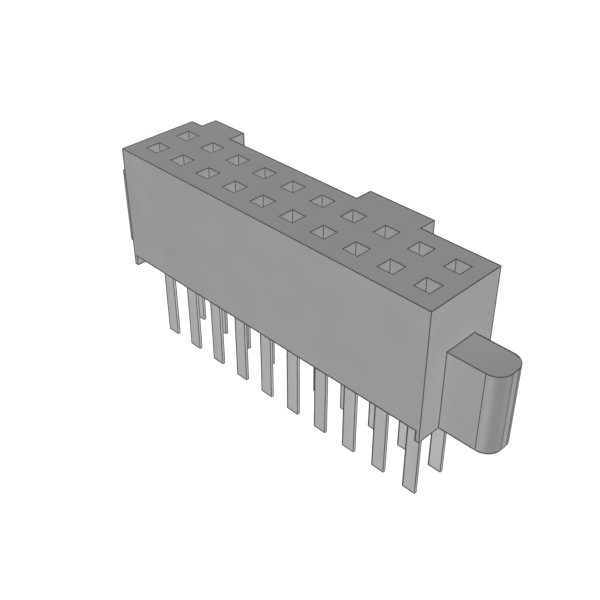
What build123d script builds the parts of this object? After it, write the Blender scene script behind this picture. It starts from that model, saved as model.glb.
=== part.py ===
from build123d import *
import os

# Board-to-board socket: a moulded double-row housing with two guide ears and two
# polarising keys, filled with stamped and folded spring contacts.
# Millimetres, +Z towards the mating face, +X along the rows, keys on the +Y side.
# The origin is the middle of the contact grid, on the plane of the circuit board.

# Contact grid
columns = 10
rows = 2
pitch = 1.27
row_pitch = 1.27

# Housing block, measured from the board plane
body_length = 13.05
body_width = 3.03
body_height = 4.56
underside_height = 0.37
foot_thickness = 0.17

# Guide ears on the two ends
ear_length = 1.79
ear_width = 1.27
ear_height = 2.775
ear_corner_radius = 0.51

# Polarising keys on the back wall, placed from the block's left end
key_projection = 0.63
end_key_start = 0.52
end_key_width = 1.49
middle_key_start = 7.75
middle_key_width = 2.52

# Square pin entries in the mating face
entry_size = 0.52
roof_thickness = 0.60

# Contact strip and solder tail
strip_thickness = 0.12
inner_bend_radius = 0.07
tail_width = 0.51
tail_length = 3.06

# Folded collar, open towards the middle of the housing
collar_width = 0.92
collar_depth = 0.66
collar_setback = 0.44
collar_bottom = 1.22
collar_top = 1.95

# Barbed plate under the collar, which bites into the walls of its pocket
relief_gap = 0.06
barb_plate_height = 0.26
barb_height = 0.19
barb_bite = 0.04

# Jog that brings the tail from the collar's back to the line of its row
jog_bottom = 0.47

# Spring beams, one from each side wall of the collar
beam_width = 0.40
beam_tip_width = 0.30
beam_root_rise = 0.16
throat_gap = 0.36
throat_below_tip = 0.52
tip_gap = 0.56
beam_bend_radius = 0.45
tip_clearance = 0.10

# Running room between a contact and its cavity
pocket_clearance = 0.01
chamber_clearance = 0.05

# Levels and places worked out from the sizes above
roof_bottom = body_height - roof_thickness
beam_tip = roof_bottom - tip_clearance
throat_level = beam_tip - throat_below_tip
beam_root = collar_top + beam_root_rise
barb_plate_top = collar_bottom - relief_gap
barb_plate_bottom = barb_plate_top - barb_plate_height
half_strip = strip_thickness / 2
middle_bend_radius = inner_bend_radius + half_strip
side_wall_middle = collar_width / 2 - half_strip
back_wall_middle = -collar_setback + half_strip
pocket_width = collar_width + 2 * pocket_clearance
pocket_depth = collar_depth + 2 * pocket_clearance
pocket_shift = collar_setback - collar_depth / 2
chamber_depth = beam_width + 2 * chamber_clearance

os.makedirs("parts", exist_ok=True)


def barbs():
    """Draw the barbs of a contact, one on each side of its plate."""
    shoulder = collar_width / 2
    point = shoulder + pocket_clearance + barb_bite
    for side in (1, -1):
        Polygon(
            (side * shoulder, barb_plate_bottom),
            (side * point, barb_plate_bottom),
            (side * shoulder, barb_plate_bottom + barb_height),
            align=None,
        )


# Housing: one moulding
with BuildPart() as housing:
    # Block between the underside and the mating face
    with BuildSketch(Plane.XY.offset(underside_height)):
        Rectangle(body_length, body_width)
    extrude(amount=body_height - underside_height)

    # A foot along each end holds the underside off the board
    with BuildSketch():
        with GridLocations(body_length - foot_thickness, 0, 2, 1):
            Rectangle(foot_thickness, body_width)
    extrude(amount=underside_height)

    # Guide ears with rounded outer corners
    for side, outer_end in ((1, -1), (-1, 0)):
        with BuildSketch() as ear:
            with Locations((side * (body_length + ear_length) / 2, 0)):
                Rectangle(ear_length, ear_width)
            fillet(ear.vertices().group_by(Axis.X)[outer_end], radius=ear_corner_radius)
        extrude(amount=ear_height)

    # Polarising keys, flush with the mating face
    with BuildSketch(Plane.XY.offset(underside_height)):
        for start, width in (
            (end_key_start, end_key_width),
            (middle_key_start, middle_key_width),
        ):
            with Locations((start - body_length / 2, body_width / 2)):
                Rectangle(width, key_projection, align=(Align.MIN, Align.MIN))
    extrude(amount=body_height - underside_height)

    # Square entries through the roof
    with BuildSketch(Plane.XY.offset(roof_bottom)):
        with GridLocations(pitch, row_pitch, columns, rows):
            Rectangle(entry_size, entry_size)
    extrude(amount=roof_thickness, mode=Mode.SUBTRACT)

    # Chambers in which the spring beams open
    with BuildSketch(Plane.XY.offset(collar_top)):
        with GridLocations(pitch, row_pitch, columns, rows):
            Rectangle(pocket_width, chamber_depth)
    extrude(amount=roof_bottom - collar_top, mode=Mode.SUBTRACT)

    # Pockets for the collars, loaded from the underside up to the chambers' step
    with BuildSketch(Plane.XY.offset(underside_height)):
        with GridLocations(pitch, row_pitch + 2 * pocket_shift, columns, rows):
            Rectangle(pocket_width, pocket_depth)
    extrude(amount=collar_top - underside_height, mode=Mode.SUBTRACT)

    # Notches that the barbs press into the side walls of the pockets
    for facing in (1, -1):
        sheet_back = facing * (row_pitch / 2 + collar_setback)
        with BuildSketch(Plane.XZ.offset(-sheet_back)):
            with GridLocations(pitch, 0, columns, 1):
                barbs()
        extrude(amount=facing * strip_thickness, mode=Mode.SUBTRACT)

housing.part.label = "housing"
export_step(housing.part, "parts/housing.step")

# Contact: one piece, stamped from strip and folded. It is drawn on the grid's
# middle, with its back towards -Y
with BuildPart() as contact:
    # Collar folded to a channel
    with BuildSketch(Plane.XY.offset(collar_bottom)):
        with BuildLine():
            FilletPolyline(
                (-side_wall_middle, collar_depth - collar_setback),
                (-side_wall_middle, back_wall_middle),
                (side_wall_middle, back_wall_middle),
                (side_wall_middle, collar_depth - collar_setback),
                radius=middle_bend_radius,
            )
        trace(line_width=strip_thickness)
    extrude(amount=collar_top - collar_bottom)

    # Barbed plate in line with the collar's back
    with BuildSketch(Plane.XZ.offset(collar_setback)):
        with Locations((0, barb_plate_bottom)):
            Rectangle(collar_width, barb_plate_height, align=(Align.CENTER, Align.MIN))
        barbs()
    extrude(amount=-strip_thickness)

    # Tail, from the collar's back through the jog to its square-cut end
    with BuildSketch(Plane.YZ):
        with BuildLine():
            FilletPolyline(
                (back_wall_middle, collar_bottom + middle_bend_radius),
                (back_wall_middle, barb_plate_bottom),
                (0, jog_bottom),
                (0, -tail_length),
                radius=middle_bend_radius,
            )
        trace(line_width=strip_thickness)
    extrude(amount=tail_width / 2, both=True)

    # Spring beams: from a crease at the root they lean in to the throat, then flare
    # out at the tip
    for side in (1, -1):
        with BuildSketch(Plane.XZ):
            with BuildLine():
                FilletPolyline(
                    (side * side_wall_middle, collar_top - half_strip),
                    (side * side_wall_middle, beam_root),
                    (side * (throat_gap + strip_thickness) / 2, throat_level),
                    (side * (tip_gap + strip_thickness) / 2, beam_tip),
                    radius=(0, beam_bend_radius),
                )
            trace(line_width=strip_thickness)
        extrude(amount=beam_width / 2, both=True)

    # Each beam narrows from its root to its tip
    with BuildSketch(Plane.YZ):
        for side in (1, -1):
            Polygon(
                (side * beam_width / 2, beam_root),
                (side * beam_width / 2, beam_tip + half_strip),
                (side * beam_tip_width / 2, beam_tip + half_strip),
                align=None,
            )
    extrude(amount=collar_width / 2, both=True, mode=Mode.SUBTRACT)

# The two rows turn their backs to the outer walls
for row_name, facing, turn in (("front", -1, 0), ("back", 1, 180)):
    for column in range(columns):
        along = (column - (columns - 1) / 2) * pitch
        with BuildPart() as placed:
            with Locations(Location((along, facing * row_pitch / 2, 0), (0, 0, turn))):
                add(contact.part)
        placed.part.label = f"contact_{row_name}_{column + 1:02d}"
        export_step(placed.part, f"parts/{placed.part.label}.step")
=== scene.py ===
import logging
import math
from collections.abc import Callable, Iterable
from dataclasses import dataclass, field
from enum import Enum, IntEnum

import bmesh
import bpy
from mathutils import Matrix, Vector


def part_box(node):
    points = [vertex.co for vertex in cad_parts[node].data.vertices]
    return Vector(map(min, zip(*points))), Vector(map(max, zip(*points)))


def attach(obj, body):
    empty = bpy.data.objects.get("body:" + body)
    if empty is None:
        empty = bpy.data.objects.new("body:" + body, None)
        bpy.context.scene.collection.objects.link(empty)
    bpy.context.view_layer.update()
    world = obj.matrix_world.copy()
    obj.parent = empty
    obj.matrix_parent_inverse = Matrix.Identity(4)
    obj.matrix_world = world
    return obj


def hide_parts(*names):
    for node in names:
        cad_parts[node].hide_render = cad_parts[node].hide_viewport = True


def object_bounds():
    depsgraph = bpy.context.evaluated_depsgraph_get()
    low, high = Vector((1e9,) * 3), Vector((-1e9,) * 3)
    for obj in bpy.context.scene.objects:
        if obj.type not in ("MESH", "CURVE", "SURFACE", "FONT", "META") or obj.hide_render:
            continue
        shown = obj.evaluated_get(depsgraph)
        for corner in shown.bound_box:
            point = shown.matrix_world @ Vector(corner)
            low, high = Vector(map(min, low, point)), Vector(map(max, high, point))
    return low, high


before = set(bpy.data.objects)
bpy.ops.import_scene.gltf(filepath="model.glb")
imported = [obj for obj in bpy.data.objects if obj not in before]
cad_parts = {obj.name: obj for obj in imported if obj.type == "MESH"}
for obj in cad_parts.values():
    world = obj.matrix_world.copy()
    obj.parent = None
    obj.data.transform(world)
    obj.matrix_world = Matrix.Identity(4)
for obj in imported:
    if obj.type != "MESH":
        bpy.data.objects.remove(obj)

CAD_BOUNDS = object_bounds()
"""The CAD model's box, taken before anything is added."""

CAD_LOW, CAD_HIGH = (Vector(corner) for corner in CAD_BOUNDS)
CAD_MIDDLE = (CAD_LOW + CAD_HIGH) / 2
"""The middle of that box, which the camera and the lights face."""

METRES_PER_MM = 0.001
MM_PER_METRE = 1000.0

BODY = "root"
"""The one body, which every piece rides on."""

log = logging.getLogger("socket")

Colour = tuple[float, float, float]
Element = bmesh.types.BMVert | bmesh.types.BMEdge | bmesh.types.BMFace
FaceTest = Callable[[bmesh.types.BMFace], bool]

WHITE = (1.0, 1.0, 1.0)
WARM = (1.0, 0.90, 0.68)

OPEN_SIDE = Vector((1.0, -1.0, 1.0))
"""Towards the right end, the front and the mating face."""

FACING = 0.5
"""The least part of a normal along an axis for a face to look that way."""

SHARP_TURN = math.radians(30.0)
"""The least angle between two faces that makes the edge between them a sharp one."""


class Slot(Enum):
    """The record's material slots."""

    HOUSING = "housing_plastic"
    CONTACT = "contact_metal"


class Grain(Enum):
    """How a surface's fine pattern is stretched along X, Y and Z."""

    EVEN = (1.0, 1.0, 1.0)
    ROLLED_UPRIGHT = (1.0, 1.0, 0.06)


class Coat(IntEnum):
    """Which of its piece's materials a face wears."""

    BASE = 0
    # EDGE, CORNER and ENTRY are coats of painted shade: dark rims along the edges, shaded bands
    # round the ears' corners and darker pin entry walls.
    EDGE = 1
    CORNER = 2
    ENTRY = 3


# Shared shader group


@dataclass(frozen=True)
class Mottle:
    """The unevenness that all finishes share: broad clouds, fine grain and sparse flecks."""

    name: str = "mottle"
    cloud_detail: float = 3.0
    grain_detail: float = 4.0
    grain_share: float = 0.45
    fleck_core: float = 0.10
    fleck_rim: float = 0.22
    fleck_lift: float = 0.12

    def group(self) -> bpy.types.ShaderNodeTree:
        """Find or build the shader group.

        Returns:
            A node group with the inputs Stretch, Clouds, Grain and Flecks, and the outputs Tone
            and Height, both from 0 to 1.
        """
        if self.name in bpy.data.node_groups:
            return bpy.data.node_groups[self.name]
        tree = bpy.data.node_groups.new(self.name, "ShaderNodeTree")
        tree.interface.new_socket("Stretch", in_out="INPUT", socket_type="NodeSocketVector")
        for socket in ("Clouds", "Grain", "Flecks"):
            tree.interface.new_socket(socket, in_out="INPUT", socket_type="NodeSocketFloat")
        for socket in ("Tone", "Height"):
            tree.interface.new_socket(socket, in_out="OUTPUT", socket_type="NodeSocketFloat")
        nodes, links = tree.nodes, tree.links
        given, made = nodes.new("NodeGroupInput"), nodes.new("NodeGroupOutput")

        place = nodes.new("ShaderNodeTexCoord")
        stretched = nodes.new("ShaderNodeVectorMath")
        stretched.operation = "MULTIPLY"
        in_mm = nodes.new("ShaderNodeVectorMath")
        in_mm.operation = "SCALE"
        in_mm.inputs["Scale"].default_value = MM_PER_METRE
        links.new(place.outputs["Object"], stretched.inputs[0])
        links.new(given.outputs["Stretch"], stretched.inputs[1])
        links.new(stretched.outputs["Vector"], in_mm.inputs[0])

        clouds = nodes.new("ShaderNodeTexNoise")
        clouds.inputs["Detail"].default_value = self.cloud_detail
        grain = nodes.new("ShaderNodeTexNoise")
        grain.inputs["Detail"].default_value = self.grain_detail
        flecks = nodes.new("ShaderNodeTexVoronoi")
        for texture, size in ((clouds, "Clouds"), (grain, "Grain"), (flecks, "Flecks")):
            links.new(in_mm.outputs["Vector"], texture.inputs["Vector"])
            links.new(given.outputs[size], texture.inputs["Scale"])

        fleck_mask = nodes.new("ShaderNodeMapRange")
        fleck_mask.inputs["From Min"].default_value = self.fleck_core
        fleck_mask.inputs["From Max"].default_value = self.fleck_rim
        fleck_mask.inputs["To Min"].default_value = self.fleck_lift
        fleck_mask.inputs["To Max"].default_value = 0.0
        links.new(flecks.outputs["Distance"], fleck_mask.inputs["Value"])

        blend = nodes.new("ShaderNodeMix")
        blend.inputs["Factor"].default_value = self.grain_share
        links.new(clouds.outputs["Fac"], blend.inputs["A"])
        links.new(grain.outputs["Fac"], blend.inputs["B"])
        tone = nodes.new("ShaderNodeMath")
        tone.operation = "ADD"
        tone.use_clamp = True
        links.new(blend.outputs["Result"], tone.inputs[0])
        links.new(fleck_mask.outputs["Result"], tone.inputs[1])
        links.new(tone.outputs["Value"], made.inputs["Tone"])
        links.new(grain.outputs["Fac"], made.inputs["Height"])
        return tree


MOTTLE = Mottle()


# Finishes


def grey(level: float, warmth: float = 0.0) -> Colour:
    """Give a linear grey; the warmth is the share of its level that red gains and blue loses."""
    return (level * (1.0 + warmth), level, level * (1.0 - warmth))


def opaque(colour: Colour) -> tuple[float, float, float, float]:
    """Give a colour with a full alpha, as shader sockets take it."""
    return (*colour, 1.0)


@dataclass(frozen=True)
class Finish:
    """One procedural surface, whose tone, gloss and relief vary with the mottle group."""

    name: str
    dark: Colour
    light: Colour
    roughness: tuple[float, float]
    metallic: float = 0.0
    specular: float = 0.5
    glow: float = 0.0
    grain: Grain = Grain.EVEN
    clouds_per_mm: float = 0.8
    grain_per_mm: float = 30.0
    flecks_per_mm: float = 9.0
    relief_mm: float = 0.001
    relief_strength: float = 0.35
    dark_below: float = 0.25
    light_above: float = 0.75

    def material(self) -> bpy.types.Material:
        """Find or build this finish's material.

        Returns:
            The material, built once and shared by every piece that wears the finish.
        """
        if self.name in bpy.data.materials:
            return bpy.data.materials[self.name]
        made = bpy.data.materials.new(self.name)
        made.use_nodes = True
        tree = made.node_tree
        shader = tree.nodes["Principled BSDF"]
        shader.inputs["Metallic"].default_value = self.metallic
        shader.inputs["Specular IOR Level"].default_value = self.specular
        shader.inputs["Emission Color"].default_value = opaque(WHITE)
        shader.inputs["Emission Strength"].default_value = self.glow

        mottle = tree.nodes.new("ShaderNodeGroup")
        mottle.node_tree = MOTTLE.group()
        mottle.inputs["Stretch"].default_value = self.grain.value
        mottle.inputs["Clouds"].default_value = self.clouds_per_mm
        mottle.inputs["Grain"].default_value = self.grain_per_mm
        mottle.inputs["Flecks"].default_value = self.flecks_per_mm

        tree.links.new(self.colour(tree, mottle.outputs["Tone"]), shader.inputs["Base Color"])

        gloss = tree.nodes.new("ShaderNodeMapRange")
        gloss.inputs["To Min"].default_value = self.roughness[0]
        gloss.inputs["To Max"].default_value = self.roughness[1]
        tree.links.new(mottle.outputs["Tone"], gloss.inputs["Value"])
        tree.links.new(gloss.outputs["Result"], shader.inputs["Roughness"])

        relief = tree.nodes.new("ShaderNodeBump")
        relief.inputs["Strength"].default_value = self.relief_strength
        relief.inputs["Distance"].default_value = self.relief_mm * METRES_PER_MM
        tree.links.new(mottle.outputs["Height"], relief.inputs["Height"])
        tree.links.new(relief.outputs["Normal"], shader.inputs["Normal"])
        return made

    def colour(
        self, tree: bpy.types.ShaderNodeTree, tone: bpy.types.NodeSocket
    ) -> bpy.types.NodeSocket:
        """Spread the mottle between the dark and the light colour.

        Args:
            tree: The material's nodes.
            tone: The mottle, from 0 to 1.

        Returns:
            The socket that gives the base colour.
        """
        ramp = tree.nodes.new("ShaderNodeValToRGB")
        darker, lighter = ramp.color_ramp.elements
        darker.position = self.dark_below
        darker.color = opaque(self.dark)
        lighter.position = self.light_above
        lighter.color = opaque(self.light)
        tree.links.new(tone, ramp.inputs["Fac"])
        return ramp.outputs["Color"]


@dataclass(frozen=True)
class PaintedShadeFinish(Finish):
    """A finish with painted shade in bands round a rounded corner, measured from the middle along
    X: darker across the middle of the rounding, with a faint painted bluish sheen near its start.
    """

    start_mm: float = 0.0
    end_mm: float = 1.0
    bands: tuple[tuple[float, Colour], ...] = ()

    def colour(
        self, tree: bpy.types.ShaderNodeTree, tone: bpy.types.NodeSocket
    ) -> bpy.types.NodeSocket:
        """Paint shade and a faint bluish sheen onto the mottled colour by its place on the corner.

        Args:
            tree: The material's nodes.
            tone: The mottle, from 0 to 1.

        Returns:
            The socket that gives the base colour.
        """
        place = tree.nodes.new("ShaderNodeTexCoord")
        parts = tree.nodes.new("ShaderNodeSeparateXYZ")
        outward = tree.nodes.new("ShaderNodeMath")
        outward.operation = "ABSOLUTE"
        across = tree.nodes.new("ShaderNodeMapRange")
        across.inputs["From Min"].default_value = self.start_mm * METRES_PER_MM
        across.inputs["From Max"].default_value = self.end_mm * METRES_PER_MM
        painted_shade = tree.nodes.new("ShaderNodeValToRGB")
        painted_shade.color_ramp.interpolation = "EASE"
        stops = painted_shade.color_ramp.elements
        while len(stops) < len(self.bands):
            stops.new(1.0)
        for stop, (position, colour) in zip(stops, self.bands):
            stop.position = position
            stop.color = opaque(colour)
        shaded = tree.nodes.new("ShaderNodeMix")
        shaded.data_type = "RGBA"
        shaded.blend_type = "MULTIPLY"
        shaded.inputs["Factor"].default_value = 1.0
        tree.links.new(place.outputs["Object"], parts.inputs["Vector"])
        tree.links.new(parts.outputs["X"], outward.inputs[0])
        tree.links.new(outward.outputs["Value"], across.inputs["Value"])
        tree.links.new(across.outputs["Result"], painted_shade.inputs["Fac"])
        tree.links.new(super().colour(tree, tone), shaded.inputs["A"])
        tree.links.new(painted_shade.outputs["Color"], shaded.inputs["B"])
        return shaded.outputs["Result"]


MOULDED = Finish(
    name="moulded_plastic",
    dark=grey(0.263),
    light=grey(0.295),
    roughness=(0.70, 0.82),
    specular=0.10,
)
# Painted shade: a near-black grey for the rims and roundings along the housing's edges, drawn as
# dark lines.
PLASTIC_EDGE_SHADE = Finish(
    name="plastic_edge_painted_shade",
    dark=grey(0.063),
    light=grey(0.077),
    roughness=(0.74, 0.86),
    specular=0.06,
)
# Painted shade and a painted bluish sheen on the ears' rounded corners: darker bands across the
# middle of each rounding.
CORNER_PAINTED_SHADE = PaintedShadeFinish(
    name="corner_painted_shade",
    dark=grey(0.263),
    light=grey(0.295),
    roughness=(0.60, 0.72),
    specular=0.10,
    start_mm=7.805,
    end_mm=8.315,
    bands=(
        (0.0, grey(1.00, -0.01)),
        (0.20, grey(0.93, -0.035)),
        (0.70, grey(0.565, -0.015)),
        (0.86, grey(0.575, -0.015)),
        (1.0, grey(0.74, -0.015)),
    ),
)
# Painted shade in the pin entries: their walls get a darker grey than the rest of the same plastic.
ENTRY_PAINTED_SHADE = Finish(
    name="entry_wall_painted_shade",
    dark=grey(0.226),
    light=grey(0.254),
    roughness=(0.70, 0.82),
    specular=0.10,
)
PLATED = Finish(
    name="tin_plating",
    dark=grey(0.425),
    light=grey(0.490),
    roughness=(0.38, 0.55),
    metallic=0.20,
    grain=Grain.ROLLED_UPRIGHT,
    clouds_per_mm=1.6,
    grain_per_mm=26.0,
    relief_mm=0.0006,
)
# Painted shade: a near-black grey for the rims and roundings along the contacts' tail edges, drawn
# as dark lines.
METAL_EDGE_SHADE = Finish(
    name="metal_edge_painted_shade",
    dark=grey(0.075),
    light=grey(0.094),
    roughness=(0.45, 0.60),
    metallic=0.20,
    specular=0.20,
    grain=Grain.ROLLED_UPRIGHT,
)
PALE_FLOOR = Finish(
    name="pale_floor",
    dark=grey(0.78),
    light=grey(0.84),
    roughness=(0.85, 0.95),
    specular=0.0,
    glow=0.40,
    clouds_per_mm=0.02,
    grain_per_mm=1.5,
    flecks_per_mm=0.2,
    relief_mm=0.0005,
    relief_strength=0.05,
)


# Faces and edges


def beside(face: bmesh.types.BMFace) -> set[bmesh.types.BMFace]:
    """Give the faces that share an edge with a face."""
    return {other for edge in face.edges for other in edge.link_faces if other != face}


def is_square_on(face: bmesh.types.BMFace, tolerance: float = 0.001) -> bool:
    """Say whether a face looks straight along X, Y or Z."""
    return max(abs(part) for part in face.normal) > 1.0 - tolerance


def is_sharp(edge: bmesh.types.BMEdge) -> bool:
    """Say whether two faces meet at an edge by a sharp turn."""
    return edge.is_manifold and edge.calc_face_angle() > SHARP_TURN


def is_seam(edge: bmesh.types.BMEdge) -> bool:
    """Say whether an edge parts two surfaces: by a sharp turn, or where a flat runs into a curve.

    Args:
        edge: The edge.

    Returns:
        True where the surface changes or ends.
    """
    if not edge.is_manifold or is_sharp(edge):
        return True
    one, other = edge.link_faces
    return is_square_on(one) != is_square_on(other)


def turns_away(face: bmesh.types.BMFace, least: float = 0.2) -> bool:
    """Say whether an open surface drops, past a rim's face, to the left, the back or the underside.

    Args:
        face: A face of a rim.
        least: The smallest change between two normals that is a turn.

    Returns:
        True beside such an edge, where the rim of painted shade is drawn wider.
    """
    if face.normal.dot(OPEN_SIDE) < least:
        return False
    centre = face.calc_center_median()
    return any(
        (other.normal - face.normal).dot(OPEN_SIDE) < -least
        and (other.calc_center_median() - centre).dot(face.normal) < 0.0
        for other in beside(face)
    )


def coat(faces: Iterable[bmesh.types.BMFace], layer: Coat) -> None:
    """Give some faces one of their piece's materials."""
    for face in faces:
        face.material_index = layer


def where(element: Element) -> list[tuple[float, ...]]:
    """Give the places of an element's corners, from the lowest X up."""
    return sorted(tuple(corner.co) for corner in getattr(element, "verts", (element,)))


@dataclass(frozen=True)
class Step:
    """A further ring of a rim of painted shade, inwards from some faces of the ring before it."""

    width_mm: float
    goes_on: FaceTest = turns_away


# Pieces


def stand(name: str, data: bpy.types.ID) -> bpy.types.Object:
    """Put some data into the scene as an object.

    Args:
        name: The object's name.
        data: Its mesh, camera or light.

    Returns:
        The object, at the origin.
    """
    made = bpy.data.objects.new(name, data)
    bpy.context.scene.collection.objects.link(made)
    return made


@dataclass
class Workpiece:
    """A merged copy of a CAD node, worked in millimetres and put back in metres."""

    node: str
    weld_mm: float = 0.0002
    flat_angle: float = math.radians(0.4)
    smooth_angle: float = math.radians(14.0)
    mesh: bmesh.types.BMesh = field(init=False)

    def __post_init__(self) -> None:
        """Copy the node's triangles, weld them and join those that lie in one plane."""
        self.mesh = bmesh.new()
        self.mesh.from_mesh(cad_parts[self.node].data)
        bmesh.ops.scale(self.mesh, vec=(MM_PER_METRE,) * 3, verts=self.mesh.verts)
        bmesh.ops.remove_doubles(self.mesh, verts=self.mesh.verts, dist=self.weld_mm)
        bmesh.ops.dissolve_limit(
            self.mesh,
            angle_limit=self.flat_angle,
            verts=self.mesh.verts,
            edges=self.mesh.edges,
        )
        coat(self.mesh.faces, Coat.BASE)

    def part_at(self, level_mm: float, wanted: FaceTest) -> None:
        """Divide faces at a level, so that what is over or under it can be worked by itself.

        Args:
            level_mm: The height of the dividing plane.
            wanted: Says whether a face is to be divided.
        """
        faces = [face for face in self.mesh.faces if wanted(face)]
        edges = list(dict.fromkeys(edge for face in faces for edge in face.edges))
        corners = list(dict.fromkeys(vertex for edge in edges for vertex in edge.verts))
        bmesh.ops.bisect_plane(
            self.mesh,
            geom=corners + edges + faces,
            dist=self.weld_mm,
            plane_co=(0.0, 0.0, level_mm),
            plane_no=(0.0, 0.0, 1.0),
        )

    def bevel(self, wanted: FaceTest, width_mm: float, segments: int) -> None:
        """Round the sharp edges between some faces, and paint shade on the roundings as dark lines.

        Args:
            wanted: Says whether a face is one of those that the edges lie between.
            width_mm: The set-back of the rounding on each face.
            segments: The number of facets across it.
        """
        edges = [
            edge
            for edge in self.mesh.edges
            if is_sharp(edge) and all(wanted(face) for face in edge.link_faces)
        ]
        ends = list(dict.fromkeys(vertex for edge in edges for vertex in edge.verts))
        made = bmesh.ops.bevel(
            self.mesh,
            geom=edges + ends,
            affect="EDGES",
            offset_type="OFFSET",
            offset=width_mm,
            segments=segments,
            profile=0.5,
            clamp_overlap=False,
            material=-1,
        )
        coat(made["faces"], Coat.EDGE)

    def regions(self, wanted: FaceTest) -> list[list[bmesh.types.BMFace]]:
        """Group the wanted faces into surfaces with seams round them.

        Args:
            wanted: Says whether a face is to be in a group.

        Returns:
            The groups, in the order of the mesh's faces.
        """
        left = dict.fromkeys(face for face in self.mesh.faces if wanted(face))
        groups = []
        while left:
            reached = [next(iter(left))]
            del left[reached[0]]
            group = []
            while reached:
                face = reached.pop()
                group.append(face)
                for edge in face.edges:
                    if is_seam(edge):
                        continue
                    for other in edge.link_faces:
                        if other in left:
                            del left[other]
                            reached.append(other)
            groups.append(group)
        return groups

    def inset(self, group: list[bmesh.types.BMFace], width_mm: float) -> list[bmesh.types.BMFace]:
        """Inset a surface from its boundary.

        Args:
            group: The surface's faces, which stay its inner part.
            width_mm: How far the inner part is set in.

        Returns:
            The ring of new faces round it.
        """
        made = bmesh.ops.inset_region(
            self.mesh,
            faces=group,
            thickness=width_mm,
            depth=0.0,
            use_boundary=True,
            use_even_offset=True,
        )
        return made["faces"]

    def outline(self, wanted: FaceTest, rim_mm: float, steps: tuple[Step, ...] = ()) -> None:
        """Paint shade along each surface's boundary, as a dark rim.

        Args:
            wanted: Says which faces have a boundary that shows.
            rim_mm: The width of the ring that goes all round.
            steps: The further rings, from the first one inwards.
        """
        for group in self.regions(lambda face: face.material_index == Coat.BASE and wanted(face)):
            ring = self.inset(group, rim_mm)
            coat(ring, Coat.EDGE)
            for step in steps:
                base = {face for face in ring if step.goes_on(face)}
                ring = [face for face in self.inset(group, step.width_mm) if base & beside(face)]
                coat(ring, Coat.EDGE)

    def dress(self, wanted: FaceTest, layer: Coat) -> None:
        """Give the faces that pass a test another of the piece's materials, rims apart."""
        base = [face for face in self.mesh.faces if face.material_index == Coat.BASE]
        coat((face for face in base if wanted(face)), layer)

    def put_in_order(self) -> None:
        """Sort the mesh's elements by place, because insets make new ones in a varying order."""
        for elements in (self.mesh.verts, self.mesh.edges, self.mesh.faces):
            ranks = {element: rank for rank, element in enumerate(sorted(elements, key=where))}
            elements.sort(key=ranks.get)

    def finish(self, name: str, slot: Slot, finishes: tuple[Finish, ...]) -> bpy.types.Object:
        """Turn the work into a piece that stands for its CAD node.

        Args:
            name: The piece's name.
            slot: The record's slot that the piece belongs to; it is not used.
            finishes: Its finishes, in the order of the coats.

        Returns:
            The finished object, riding on the body.
        """
        bmesh.ops.remove_doubles(self.mesh, verts=self.mesh.verts, dist=self.weld_mm)
        bmesh.ops.dissolve_degenerate(self.mesh, edges=self.mesh.edges, dist=self.weld_mm)
        bmesh.ops.scale(self.mesh, vec=(METRES_PER_MM,) * 3, verts=self.mesh.verts)
        self.put_in_order()
        for face in self.mesh.faces:
            face.smooth = True
        data = bpy.data.meshes.new(name)
        self.mesh.to_mesh(data)
        self.mesh.free()
        data.set_sharp_from_angle(angle=self.smooth_angle)
        for finish in finishes:
            data.materials.append(finish.material())
        piece = stand(name, data)
        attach(piece, BODY)
        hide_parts(self.node)
        return piece


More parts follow.
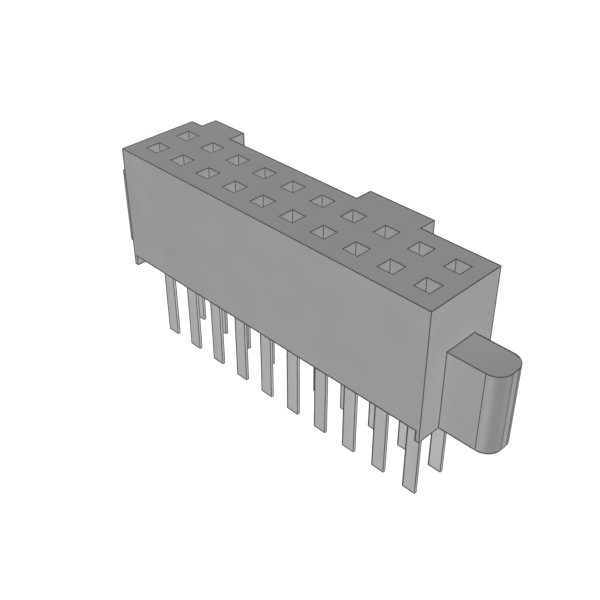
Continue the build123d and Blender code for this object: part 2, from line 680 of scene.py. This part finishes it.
@dataclass
class Housing:
    """The moulded housing, with the fine radii that the mould leaves on its edges."""

    node: str = "housing"
    block_length_mm: float = 13.05
    block_width_mm: float = 3.03
    underside_mm: float = 0.37
    roof_mm: float = 0.60
    entry_depth_mm: float = 0.56
    margin_mm: float = 0.02
    outer_band_mm: float = 0.20
    edge_radius_mm: float = 0.008
    edge_segments: int = 2
    rim_mm: float = 0.015
    turned_rim_mm: float = 0.015
    outer_rim_mm: float = 0.024
    entry_rim_mm: float = 0.013
    mating_face_mm: float = field(init=False)

    def __post_init__(self) -> None:
        """Find the level of the mating face."""
        self.mating_face_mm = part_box(self.node)[1].z * MM_PER_METRE

    def nears_outside(self, point: Vector, reach_mm: float) -> bool:
        """Say whether a point is near the block's ends or long walls.

        Args:
            point: A point, in millimetres.
            reach_mm: How far inside them still counts as near.

        Returns:
            True there, and anywhere outside the block.
        """
        return (
            abs(point.x) > self.block_length_mm / 2 - reach_mm
            or abs(point.y) > self.block_width_mm / 2 - reach_mm
        )

    def shows(self, face: bmesh.types.BMFace) -> bool:
        """Say whether a face is on the outside or in a pin entry, and not in a contact's cavity.

        Args:
            face: A face of the housing, in millimetres.

        Returns:
            True where it reaches the block's outside or the mating face, or is in the underside.
        """
        level = face.calc_center_median().z
        if face.normal.z < 0.0 and level < self.underside_mm + self.margin_mm:
            return True
        return any(
            self.nears_outside(vertex.co, self.margin_mm)
            or vertex.co.z > self.mating_face_mm - self.margin_mm
            for vertex in face.verts
        )

    def is_corner(self, face: bmesh.types.BMFace) -> bool:
        """Say whether a face is part of an ear's rounded corner."""
        return self.shows(face) and not is_square_on(face)

    def is_outer(self, face: bmesh.types.BMFace) -> bool:
        """Say whether a face's middle is in the outer band, clear of the pin entries."""
        return self.nears_outside(face.calc_center_median(), self.outer_band_mm)

    def is_entry(self, face: bmesh.types.BMFace) -> bool:
        """Say whether a face is a wall of a pin entry.

        Args:
            face: A face of the housing, in millimetres.

        Returns:
            True for the upright faces in the roof, all the way down.
        """
        centre = face.calc_center_median()
        in_roof = centre.z > self.mating_face_mm - self.roof_mm - self.margin_mm
        upright = abs(face.normal.z) < FACING
        return in_roof and upright and not self.nears_outside(centre, self.margin_mm)

    def is_mouth(self, face: bmesh.types.BMFace) -> bool:
        """Say whether a face is the part of a pin entry's wall that reaches the mating face."""
        return self.is_entry(face) and self.shows(face)

    def is_skin(self, face: bmesh.types.BMFace) -> bool:
        """Say whether a face shows and is no part of a pin entry."""
        return self.shows(face) and not self.is_entry(face)

    def build(self) -> bpy.types.Object:
        """Round the edges that show, paint shade along their rims as dark lines, and paint shade on
        the ears' rounded corners and in the pin entries.

        Returns:
            The housing.
        """
        work = Workpiece(self.node)
        work.part_at(self.mating_face_mm - self.entry_depth_mm, self.is_entry)
        work.bevel(self.shows, self.edge_radius_mm, self.edge_segments)
        # Painted shade: dark rims along the edges that show, wider where the surface turns away,
        # and thinner ones round the pin entries' mouths.
        wider = (Step(self.turned_rim_mm), Step(self.outer_rim_mm, self.is_outer))
        work.outline(self.is_skin, self.rim_mm, wider)
        work.outline(self.is_mouth, self.entry_rim_mm)
        # Painted shade on the ears' rounded corners, and a darker grey as painted shade on the pin
        # entries' walls.
        work.dress(self.is_corner, Coat.CORNER)
        work.dress(self.is_entry, Coat.ENTRY)
        finishes = (MOULDED, PLASTIC_EDGE_SHADE, CORNER_PAINTED_SHADE, ENTRY_PAINTED_SHADE)
        return work.finish("housing_moulding", Slot.HOUSING, finishes)


@dataclass
class Contacts:
    """The spring contacts, with the rolled-over edges that stamping leaves on their tails."""

    prefix: str = "contact_"
    edge_radius_mm: float = 0.008
    edge_segments: int = 2
    rim_mm: float = 0.021
    turned_rim_mm: float = 0.034
    cut_rim_mm: float = 0.012
    turned_cut_rim_mm: float = 0.026
    tail_top_mm: float = 0.40
    margin_mm: float = 0.005

    def shows(self, face: bmesh.types.BMFace) -> bool:
        """Say whether a face belongs to the tail, which stands out under the housing."""
        return all(vertex.co.z < self.tail_top_mm + self.margin_mm for vertex in face.verts)

    def is_crossing(self, face: bmesh.types.BMFace) -> bool:
        """Say whether a face runs from below the board's plane to above the tail's top."""
        levels = [vertex.co.z for vertex in face.verts]
        return min(levels) < 0.0 and max(levels) > self.tail_top_mm

    def is_broad(self, face: bmesh.types.BMFace) -> bool:
        """Say whether a face is on one of the tail's two broad sides."""
        return self.shows(face) and abs(face.normal.y) > FACING

    def is_cut(self, face: bmesh.types.BMFace) -> bool:
        """Say whether a face of the tail was cut through the strip's thickness."""
        return self.shows(face) and not self.is_broad(face)

    def build(self) -> list[bpy.types.Object]:
        """Round each contact's tail edges and paint shade along their rims as dark lines.

        Returns:
            The contacts, in the order of their nodes' names.
        """
        made = []
        for node in sorted(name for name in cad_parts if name.startswith(self.prefix)):
            work = Workpiece(node)
            work.part_at(self.tail_top_mm, self.is_crossing)
            work.bevel(self.shows, self.edge_radius_mm, self.edge_segments)
            # Painted shade: dark rims along the tail's cut and broad faces, wider on a second ring.
            work.outline(self.is_cut, self.cut_rim_mm, (Step(self.turned_cut_rim_mm),))
            work.outline(self.is_broad, self.rim_mm, (Step(self.turned_rim_mm),))
            made.append(work.finish(f"plated_{node}", Slot.CONTACT, (PLATED, METAL_EDGE_SHADE)))
        return made


# Studio


def bearing(azimuth: float, elevation: float) -> Vector:
    """Give the direction from the object to a viewer or a light.

    Args:
        azimuth: The angle about Z from -Y towards +X, in radians.
        elevation: The angle above the floor, in radians.

    Returns:
        A vector of length 1.
    """
    return Vector(
        (
            math.sin(azimuth) * math.cos(elevation),
            -math.cos(azimuth) * math.cos(elevation),
            math.sin(elevation),
        )
    )


def aim(thing: bpy.types.Object, direction: Vector, distance: float) -> None:
    """Stand a camera or a light at a distance in metres from the object's middle, facing it."""
    thing.location = CAD_MIDDLE + direction * distance
    thing.rotation_euler = (-direction).to_track_quat("-Z", "Y").to_euler()


@dataclass
class Camera:
    """A camera on the photograph's line of sight, backed off until the object's sphere fits."""

    azimuth: float = math.radians(45.0)
    elevation: float = math.atan(math.sqrt(0.5))
    field_of_view: float = math.radians(35.0)
    near_m: float = 0.001
    far_m: float = 10.0

    def build(self) -> bpy.types.Object:
        """Place the camera and make it the scene's own.

        Returns:
            The camera.
        """
        lens = bpy.data.cameras.new("photograph_view")
        lens.sensor_fit = "HORIZONTAL"
        lens.angle = self.field_of_view
        lens.clip_start = self.near_m
        lens.clip_end = self.far_m
        camera = stand("photograph_view", lens)
        radius = (CAD_HIGH - CAD_LOW).length / 2
        distance = radius / math.sin(self.field_of_view / 2)
        aim(camera, bearing(self.azimuth, self.elevation), distance)
        bpy.context.scene.camera = camera
        return camera


@dataclass(frozen=True)
class SoftBox:
    """A square area light that faces the object and casts no shadow."""

    name: str
    azimuth_deg: float
    elevation_deg: float
    side_m: float
    watts: float
    colour: Colour = WHITE
    distance_m: float = 1.50

    def build(self) -> bpy.types.Object:
        """Hang the light and turn it to the object.

        Returns:
            The light.
        """
        data = bpy.data.lights.new(self.name, "AREA")
        data.shape = "SQUARE"
        data.size = self.side_m
        data.energy = self.watts
        data.color = self.colour
        data.use_shadow = False
        light = stand(self.name, data)
        direction = bearing(math.radians(self.azimuth_deg), math.radians(self.elevation_deg))
        aim(light, direction, self.distance_m)
        return light


CAMERA_BOX = SoftBox("camera_box", azimuth_deg=45.0, elevation_deg=18.0, side_m=0.30, watts=31.0)
RIGHT_BOX = SoftBox("right_box", azimuth_deg=75.0, elevation_deg=30.0, side_m=0.30, watts=1.9)
LEFT_FILL = SoftBox("left_fill", azimuth_deg=255.0, elevation_deg=8.0, side_m=1.00, watts=14.0)
BACK_FILL = SoftBox("back_fill", azimuth_deg=195.0, elevation_deg=8.0, side_m=1.00, watts=14.0)
TOP_FILL = SoftBox(
    "top_fill", azimuth_deg=0.0, elevation_deg=89.0, side_m=1.00, watts=3.1, colour=WARM
)
UNDER_FILL = SoftBox("under_fill", azimuth_deg=45.0, elevation_deg=-80.0, side_m=1.00, watts=12.0)


@dataclass
class Studio:
    """A pale floor, a white surround that lights little, and soft boxes on all sides."""

    floor_side_m: float = 1.2
    surround_seen: float = 1.0
    surround_light: float = 0.08
    boxes: tuple[SoftBox, ...] = (
        CAMERA_BOX,
        RIGHT_BOX,
        LEFT_FILL,
        BACK_FILL,
        TOP_FILL,
        UNDER_FILL,
    )

    def build_floor(self) -> bpy.types.Object:
        """Lay a floor under the object's lowest point, which sends no light back to it.

        Returns:
            The floor.
        """
        mesh = bmesh.new()
        bmesh.ops.create_grid(mesh, x_segments=1, y_segments=1, size=self.floor_side_m / 2)
        bmesh.ops.translate(mesh, vec=(0.0, 0.0, CAD_LOW.z), verts=mesh.verts)
        data = bpy.data.meshes.new("floor")
        mesh.to_mesh(data)
        mesh.free()
        data.materials.append(PALE_FLOOR.material())
        floor = stand("floor", data)
        floor.visible_diffuse = False
        floor.visible_glossy = False
        return floor

    def build_surround(self) -> None:
        """Make the surround, which is seen white and lights the object only faintly."""
        world = bpy.data.worlds.new("white_surround")
        world.use_nodes = True
        nodes, links = world.node_tree.nodes, world.node_tree.links
        background = nodes["Background"]
        background.inputs["Color"].default_value = opaque(WHITE)
        path = nodes.new("ShaderNodeLightPath")
        strength = nodes.new("ShaderNodeMapRange")
        strength.inputs["To Min"].default_value = self.surround_light
        strength.inputs["To Max"].default_value = self.surround_seen
        links.new(path.outputs["Is Camera Ray"], strength.inputs["Value"])
        links.new(strength.outputs["Result"], background.inputs["Strength"])
        bpy.context.scene.world = world

    def build(self) -> None:
        """Set the surround, the floor and the lights."""
        bpy.context.scene.view_settings.view_transform = "Standard"
        self.build_surround()
        self.build_floor()
        for box in self.boxes:
            box.build()


def main() -> None:
    """Build the pieces in order and report each one, then set up the studio."""
    logging.basicConfig(level=logging.INFO, format="%(name)s: %(message)s")
    for piece in (Housing().build(), *Contacts().build()):
        mesh = piece.data
        log.info("%s: %d faces, %d finishes", piece.name, len(mesh.polygons), len(mesh.materials))
    Studio().build()
    Camera().build()


if __name__ == "__main__":
    main()
